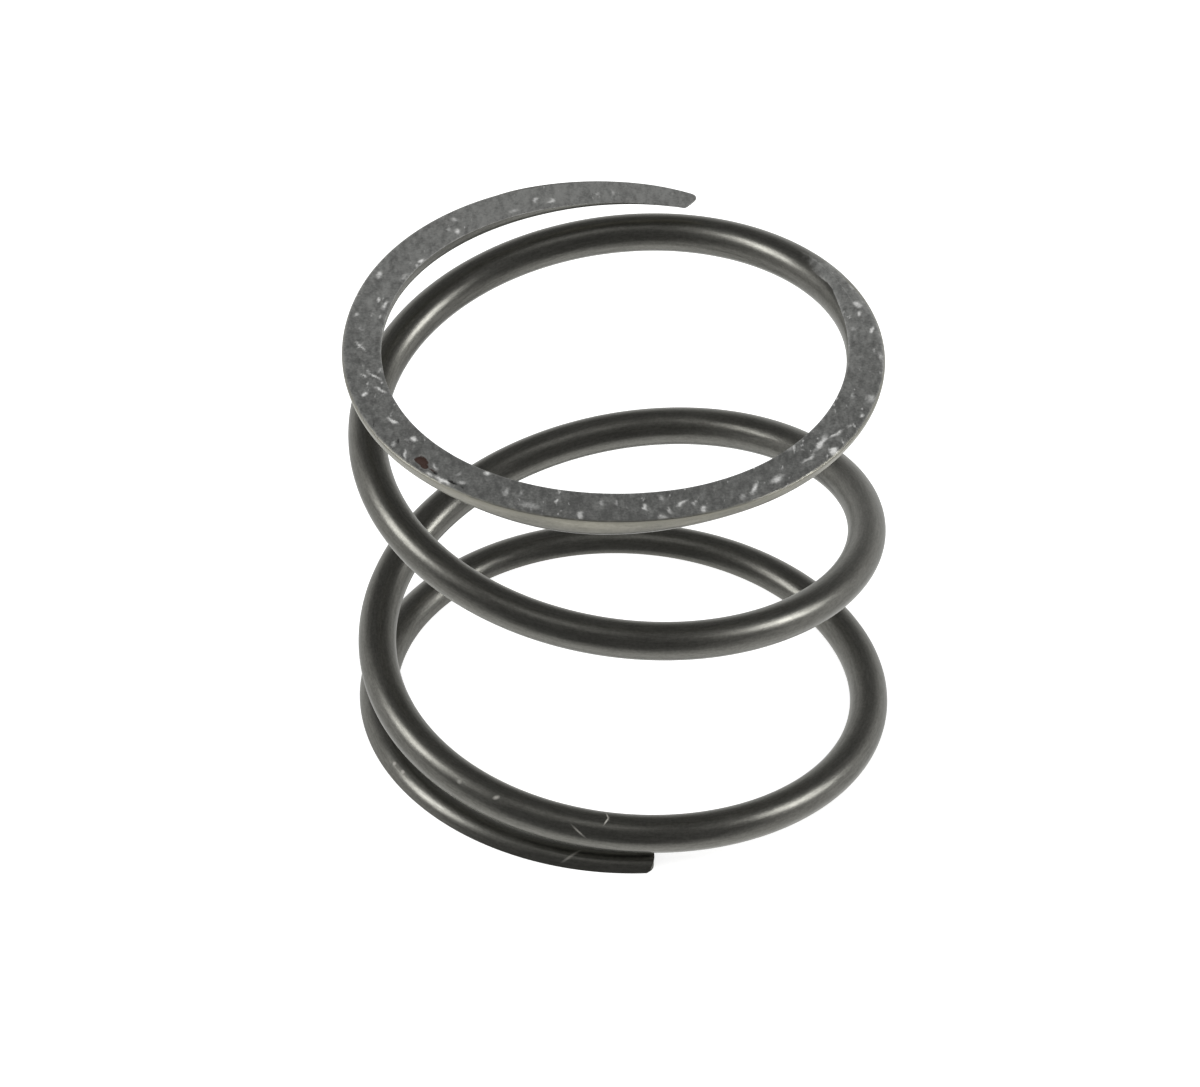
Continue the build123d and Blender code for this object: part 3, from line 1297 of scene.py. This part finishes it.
class SpringSteel(NodeBench):
    """The one material of the wire, which shows each finish where the mesh says."""

    def __init__(self, wire: OilTemperedWire, ground: GroundFace, rust: Rust) -> None:
        """Takes the finishes.

        Args:
            wire: the round wire's skin.
            ground: the ground faces.
            rust: the rust in the pits.
        """
        self.material = bpy.data.materials.new("spring_steel")
        super().__init__(cleared(self.material))
        self.wire = wire
        self.ground = ground
        self.rust = rust
        # A place on the wire, along it, outwards and upwards, and the same place in plan
        self.place = self.parts(self.carried(PLACE, "Vector"))
        across, deep, _ = self.parts(self.node("ShaderNodeTexCoord").outputs["Object"])
        self.plan = across / MM, deep / MM

    def carried(self, name: str, output: str = "Fac") -> Field:
        """Reads what the mesh carries under a name."""
        made = self.node("ShaderNodeAttribute", attribute_name=name)
        return Field(self, made.outputs[output])

    def blended(self, share: Number, first: Value, second: Value) -> Field:
        """A colour that goes from the first to the second with the share.

        Args:
            share: how far the colour goes.
            first: the colour at 0.
            second: the colour at 1.

        Returns:
            The colour between them.
        """
        made = self.node("ShaderNodeMix", data_type="RGBA")
        for identifier, value in (("Factor_Float", share), ("A_Color", first), ("B_Color", second)):
            socket = next(found for found in made.inputs if found.identifier == identifier)
            self.feed(socket, (*value, 1.0) if isinstance(value, tuple) else value)
        result = next(found for found in made.outputs if found.identifier == "Result_Color")
        return Field(self, result)

    def on_wire(self, pattern: Pattern) -> Field:
        """A pattern that is drawn out along the wire."""
        along, lateral, upward = self.place
        return self.noise(self.vector(along * pattern.drawn, lateral, upward), pattern)

    def on_face(self, pattern: Pattern) -> Field:
        """A pattern that lies level on the ground faces, drawn out from front to back."""
        across, deep = self.plan
        return self.noise(self.vector(across, deep * pattern.drawn, pattern.layer), pattern)

    def linty(self, sizes: SpringSizes) -> Field:
        """How much lint or dust there is at a place on the round wire.

        Args:
            sizes: the spring's driving dimensions.

        Returns:
            The share of the place that is covered.
        """
        along, lateral, upward = self.place
        outwards = self.math("ARCTAN2", lateral, upward)
        total = 0.0
        for fleck in FLECKS:
            ahead = along - fleck.turn * pi * (sizes.outside_diameter - sizes.wire_diameter)
            off = (outwards - radians(fleck.round)) * (sizes.wire_diameter / 2) - ahead * fleck.slant
            far = self.vector(ahead * (2 / fleck.length), off * (2 / fleck.width), 0.0)
            share = self.held(FADE - self.vectors("LENGTH", far)) * fleck.strength
            total = self.most(share, total)
        return total

    def skin(self, lint: Field) -> tuple[Field, Field, Field]:
        """The round wire's colour, roughness and height, under so much lint.

        Args:
            lint: how much lint covers the wire.

        Returns:
            The three, as they show with the lint on them.
        """
        wire = self.wire
        rubbed = self.carried(SHOULDER)
        cloud = self.on_wire(wire.cloud)
        drawn = self.on_wire(wire.lines) * 0.5 + self.on_wire(wire.scale) * 0.5
        colour = self.blended(self.between(drawn, *wire.tones), wire.colour, wire.drawn)
        # Painted shade: the bare metal is darker close to the face, where the shoulder catches a bright
        # reflection, and paler further down the side
        shade = (rubbed - wire.painted_shade_from) * wire.painted_shade_strength
        paler = self.between(drawn * 0.5 + cloud * 0.5 - shade, *wire.tones)
        bare = self.blended(paler, wire.rubbed_dark_and_painted_shade, wire.rubbed)
        colour = self.blended(self.frayed(rubbed, wire.rubbed_edge, cloud), colour, bare)
        rough = wire.roughness + self.swing(cloud, wire.roughness_swing)
        rough = self.chosen(rubbed, rough, wire.rubbed_roughness)
        rough = self.chosen(lint, rough, wire.lint_roughness)
        return self.blended(lint, colour, wire.lint), rough, drawn * wire.line_depth

    def metal(self, grain: Field, rust: Field) -> tuple[Field, Field]:
        """The ground faces' colour, and how much of it is speck.

        Args:
            grain: the grain that the wheel left.
            rust: how much rust there is.

        Returns:
            The colour and the share of speck.
        """
        ground = self.ground
        worn = self.carried(WORN)
        fine = self.on_face(ground.fine)
        noises = (self.on_face(ground.blotch), grain, fine)
        blotch, middling, finest = (noise * share for noise, share in zip(noises, ground.mottle))
        # Painted light: the mottle is made paler towards the back of the face
        mottle = blotch + middling + finest + self.plan[1] * ground.painted_light_behind
        colour = self.blended(self.between(mottle, *ground.tones), ground.dark, ground.pale)
        grit = self.on_face(ground.grit) + worn * ground.worn_specks
        speck = self.between(grit, *ground.specks) * ground.speck_share
        by_fine, by_grain = ground.scuff_fray
        frayed = 1.0 + self.swing(fine, by_fine) + self.swing(grain, by_grain)
        speck = self.most(speck, self.held(self.carried(BRIGHT) * frayed))
        colour = self.blended(speck, colour, ground.speck)
        colour = self.blended(self.frayed(-worn, ground.pit_edge, fine), colour, ground.pit)
        rusty = self.frayed(rust, self.rust.edge, grain)
        return self.blended(rusty, colour, self.rust.colour), speck

    def built(self, sizes: SpringSizes) -> bpy.types.Material:
        """Lays the material's nodes and returns it.

        Args:
            sizes: the spring's driving dimensions.

        Returns:
            The material.
        """
        ground = self.ground
        rust = self.carried(RUST)
        lint = self.linty(sizes)
        grain = self.on_face(ground.grain)
        skin, skin_rough, skin_height = self.skin(lint)
        metal, speck = self.metal(grain, rust)
        face = self.frayed(self.carried(FACE), ground.edge, grain)
        face = face * (1.0 - self.frayed(self.place[1], ground.rim, grain))
        metal_rough = ground.roughness + self.swing(grain, ground.roughness_swing)
        metal_height = (grain + speck * ground.speck_height) * ground.grain_depth
        height = self.chosen(face, skin_height, metal_height)
        bump = self.node("ShaderNodeBump", {"Strength": 1.0, "Distance": MM, "Height": height})
        bare = self.chosen(rust, 1.0 - speck * face * ground.speck_matt, self.rust.metallic)
        rough = self.chosen(face, skin_rough, metal_rough)
        values = {
            "Base Color": self.blended(face, skin, metal),
            "Metallic": bare * (1.0 - lint),
            "Roughness": self.chosen(rust, rough, self.rust.roughness),
            "Normal": bump.outputs[0],
            "Sheen Weight": self.wire.haze_share,
            "Sheen Roughness": self.wire.haze_spread,
            "Sheen Tint": (*self.wire.haze, 1.0),
        }
        shader = self.node("ShaderNodeBsdfPrincipled", values)
        self.node("ShaderNodeOutputMaterial", {"Surface": shader.outputs[0]})
        return self.material


@dataclass
class Spring:
    """The whole part: one length of wire, wound left-hand and ground at both ends."""

    sizes: SpringSizes
    steps: MeshSteps
    grinding: Grinding
    # How finely the line is walked to find its box, in steps per turn
    walk: int = 360

    def box_middle(self) -> tuple[float, float]:
        """The middle of the wire's own box in plan, before it is put in the frame.

        Returns:
            Its place along X and along Y, in millimetres.
        """
        winding = Winding(Sums(), self.sizes)
        across: list[float] = []
        deep: list[float] = []
        for index in range(int(self.sizes.total_turns * self.walk) + 1):
            turn = index / self.walk
            x, y, z = winding.centre(turn)
            near = max(0.0, z - self.sizes.free_height, -z)
            reach = math.sqrt(max(winding.wire_radius**2 - near**2, 0.0))
            angle = winding.tip_angle + 2 * pi * turn
            for sign in (1, -1):
                across.append(x + sign * reach * math.cos(angle))
                deep.append(y + sign * reach * math.sin(angle))
        return (min(across) + max(across)) / 2, (min(deep) + max(deep)) / 2

    def build(self, material: bpy.types.Material) -> bpy.types.Object:
        """Winds, grinds and dresses the wire.

        Args:
            material: the wire's finish.

        Returns:
            The finished piece, in place of the plain solid.
        """
        low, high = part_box(NODE)
        self.sizes.free_height = (high[2] - low[2]) / MM
        x, y = self.box_middle()
        shift = ((low[0] + high[0]) / 2 / MM - x, (low[1] + high[1]) / 2 / MM - y, 0.0)
        log.info("moved into the frame by %.3f, %.3f mm", shift[0], shift[1])
        tree = WireTree(self.steps, self.grinding)
        tree.finish(tree.smoothed(tree.section(), tree.SHARPEST), material)
        piece = tree.made("wound_wire", asdict(self.sizes) | {"shift": shift})
        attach(piece, "root")
        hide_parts(NODE)
        return piece


@dataclass(frozen=True)
class SoftBox:
    """A soft lamp. Its place is given as seen from the spring, in degrees and metres."""

    name: str
    azimuth: float
    elevation: float
    away: float
    width: float
    tall: float
    radiance: float

    def hang(self, aim: Vector) -> bpy.types.Object:
        """Hangs the lamp where it looks at the aim, and returns it.

        Args:
            aim: the point that the lamp looks at.

        Returns:
            The lamp.
        """
        data = bpy.data.lights.new(self.name, "AREA")
        data.shape = "RECTANGLE"
        data.size = self.width
        data.size_y = self.tall
        data.energy = self.radiance * pi * self.width * self.tall
        lamp = put(self.name, data)
        azimuth, elevation = radians(self.azimuth), radians(self.elevation)
        out = Vector((
            math.cos(azimuth) * math.cos(elevation),
            math.sin(azimuth) * math.cos(elevation),
            math.sin(elevation),
        ))
        lamp.location = aim + out * self.away
        lamp.rotation_euler = out.to_track_quat("Z", "Y").to_euler()
        lamp.visible_camera = False
        return lamp


@dataclass
class Studio:
    """The pale floor, the plain surroundings and the soft lamps.

    In reflections the surroundings are a pale sweep, which rises behind the
    spring and beside it and falls in front, with a dim room above its edge.
    """

    lamps: tuple[SoftBox, ...]
    floor_size: float = 6.0
    floor_colour: float = 0.8
    floor_glow: float = 0.7
    surround_level: float = 0.7
    surround_dark: float = 0.18
    sweep_back: float = 0.32
    sweep_front: float = 0.5
    sweep_sides: float = 0.22
    sweep_edge: tuple[float, float] = (-0.33, 0.3)
    # How much brighter the sweep gets towards its foot, and where that fades in
    sweep_foot: float = 0.4
    foot_edge: tuple[float, float] = (0.45, 0.9)

    def lay_floor(self) -> bpy.types.Object:
        """Lays the pale floor that the spring stands on, and returns it.

        Returns:
            The floor.
        """
        half = self.floor_size / 2
        mesh = bpy.data.meshes.new("floor")
        corners = [(-half, -half, 0), (half, -half, 0), (half, half, 0), (-half, half, 0)]
        mesh.from_pydata(corners, [], [(0, 1, 2, 3)])
        floor = put("floor", mesh)
        material = bpy.data.materials.new("pale_floor")
        bench = NodeBench(cleared(material))
        grey = (self.floor_colour,) * 3 + (1.0,)
        matt = bench.node("ShaderNodeBsdfDiffuse", {"Color": grey})
        shown = self.ray(bench, "Is Camera Ray", "Is Glossy Ray", "Is Transmission Ray")
        glow = bench.node("ShaderNodeEmission", {"Strength": shown * self.floor_glow})
        both = bench.node("ShaderNodeAddShader")
        bench.feed(both.inputs[0], matt.outputs[0])
        bench.feed(both.inputs[1], glow.outputs[0])
        bench.node("ShaderNodeOutputMaterial", {"Surface": both.outputs[0]})
        mesh.materials.append(material)
        floor.visible_glossy = False
        return floor

    def ray(self, bench: NodeBench, *kinds: str) -> Number:
        """1 for a ray of one of these kinds, or else 0.

        Args:
            bench: the bench that the nodes go on.
            kinds: Light Path's outputs.

        Returns:
            1 or 0.
        """
        path = bench.node("ShaderNodeLightPath")
        found = 0.0
        for kind in kinds:
            found = bench.most(Field(bench, path.outputs[kind]), found)
        return found

    def surround(self) -> bpy.types.World:
        """Sets the surroundings, and returns them.

        Returns:
            The world that the scene now has.
        """
        world = bpy.data.worlds.new("studio")
        bench = NodeBench(cleared(world))
        across, back, rise = bench.parts(bench.node("ShaderNodeTexCoord").outputs["Generated"])
        climb = bench.chosen(bench.over(back, 0.0), self.sweep_front, self.sweep_back)
        above = rise - back * climb - across * across * self.sweep_sides
        mirrored = 1.0 - bench.between(above, *self.sweep_edge) * (1.0 - self.surround_dark)
        mirrored = mirrored + bench.between(-rise, *self.foot_edge) * self.sweep_foot
        glossy = self.ray(bench, "Is Glossy Ray")
        white = self.ray(bench, "Is Camera Ray", "Is Transmission Ray")
        level = bench.chosen(white, bench.chosen(glossy, self.surround_level, mirrored), 1.0)
        sky = bench.node("ShaderNodeBackground", {"Strength": level})
        bench.node("ShaderNodeOutputWorld", {"Surface": sky.outputs[0]})
        bpy.context.scene.world = world
        return world

    def light(self, aim: Vector) -> None:
        """Lays the floor, sets the surroundings and hangs the lamps round the aim.

        Args:
            aim: the point that every lamp looks at.
        """
        self.lay_floor()
        self.surround()
        for lamp in self.lamps:
            lamp.hang(aim)
        log.info("studio: floor, surroundings and %d lamps", len(self.lamps))


@dataclass(frozen=True)
class Viewpoint:
    """The photograph's camera, told by what it looks at and how the picture is framed.

    The picture is taken as 1200 by 1087 pixels, and the lens as set for a
    36 mm wide sensor. The focus is the point on the upright axis that stands
    focus_height above the floor, and focus_pixel is where it falls.
    """

    picture: tuple[float, float] = (1200.0, 1087.0)
    focus_pixel: tuple[float, float] = (617.560, 561.925)
    focus_height: float = 9.57
    elevation: float = 40.0625
    away: float = 506.471
    roll: float = -2.4714
    lens: float = 288.2235
    sensor: float = 36.0
    # The nearest and the farthest that the camera sees, in metres
    sight: tuple[float, float] = (0.05, 10.0)

    def set_up(self) -> bpy.types.Object:
        """Sets the camera up as the scene's own, and returns it.

        Returns:
            The camera.
        """
        data = bpy.data.cameras.new("camera")
        data.sensor_width = self.sensor
        data.lens = self.lens
        data.clip_start, data.clip_end = self.sight
        camera = put("camera", data)
        length = self.lens / self.sensor * self.picture[0]
        right = (self.focus_pixel[0] - self.picture[0] / 2) / length
        down = (self.focus_pixel[1] - self.picture[1] / 2) / length
        turn = (
            Matrix.Rotation(radians(90.0 - self.elevation), 4, "X")
            @ Matrix.Rotation(radians(-self.roll), 4, "Z")
            @ Matrix.Rotation(atan(right), 4, "Y")
            @ Matrix.Rotation(atan(down / hypot(1.0, right)), 4, "X")
        )
        elevation = radians(self.elevation)
        back = Vector((0.0, -math.cos(elevation), math.sin(elevation)))
        focus = Vector((0.0, 0.0, self.focus_height))
        camera.matrix_world = Matrix.Translation((focus + back * self.away) * MM) @ turn
        bpy.context.scene.camera = camera
        return camera


LAMPS = (
    SoftBox("left_softbox", azimuth=-177.0, elevation=33.0, away=0.5, width=0.13, tall=0.22, radiance=8.8),
    SoftBox("right_softbox", azimuth=-2.0, elevation=29.0, away=0.5, width=0.15, tall=0.19, radiance=9.6),
    SoftBox("top_softbox", azimuth=-103.0, elevation=70.0, away=0.6, width=0.34, tall=0.26, radiance=0.5),
)


def main() -> None:
    """Builds the spring, then the studio and the camera, and reports each piece."""
    sizes = SpringSizes()
    steel = SpringSteel(OilTemperedWire(), GroundFace(), Rust()).built(sizes)
    wire = Spring(sizes, MeshSteps(), Grinding()).build(steel)
    wire.data.calc_loop_triangles()
    log.info("%s: %d triangles", wire.name, len(wire.data.loop_triangles))
    low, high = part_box(NODE)
    Studio(LAMPS).light((Vector(low) + Vector(high)) / 2)
    Viewpoint().set_up()
    bpy.context.scene.view_settings.view_transform = "Standard"


if __name__ == "__main__":
    logging.basicConfig(level=logging.INFO, format="%(name)s: %(message)s")
    main()
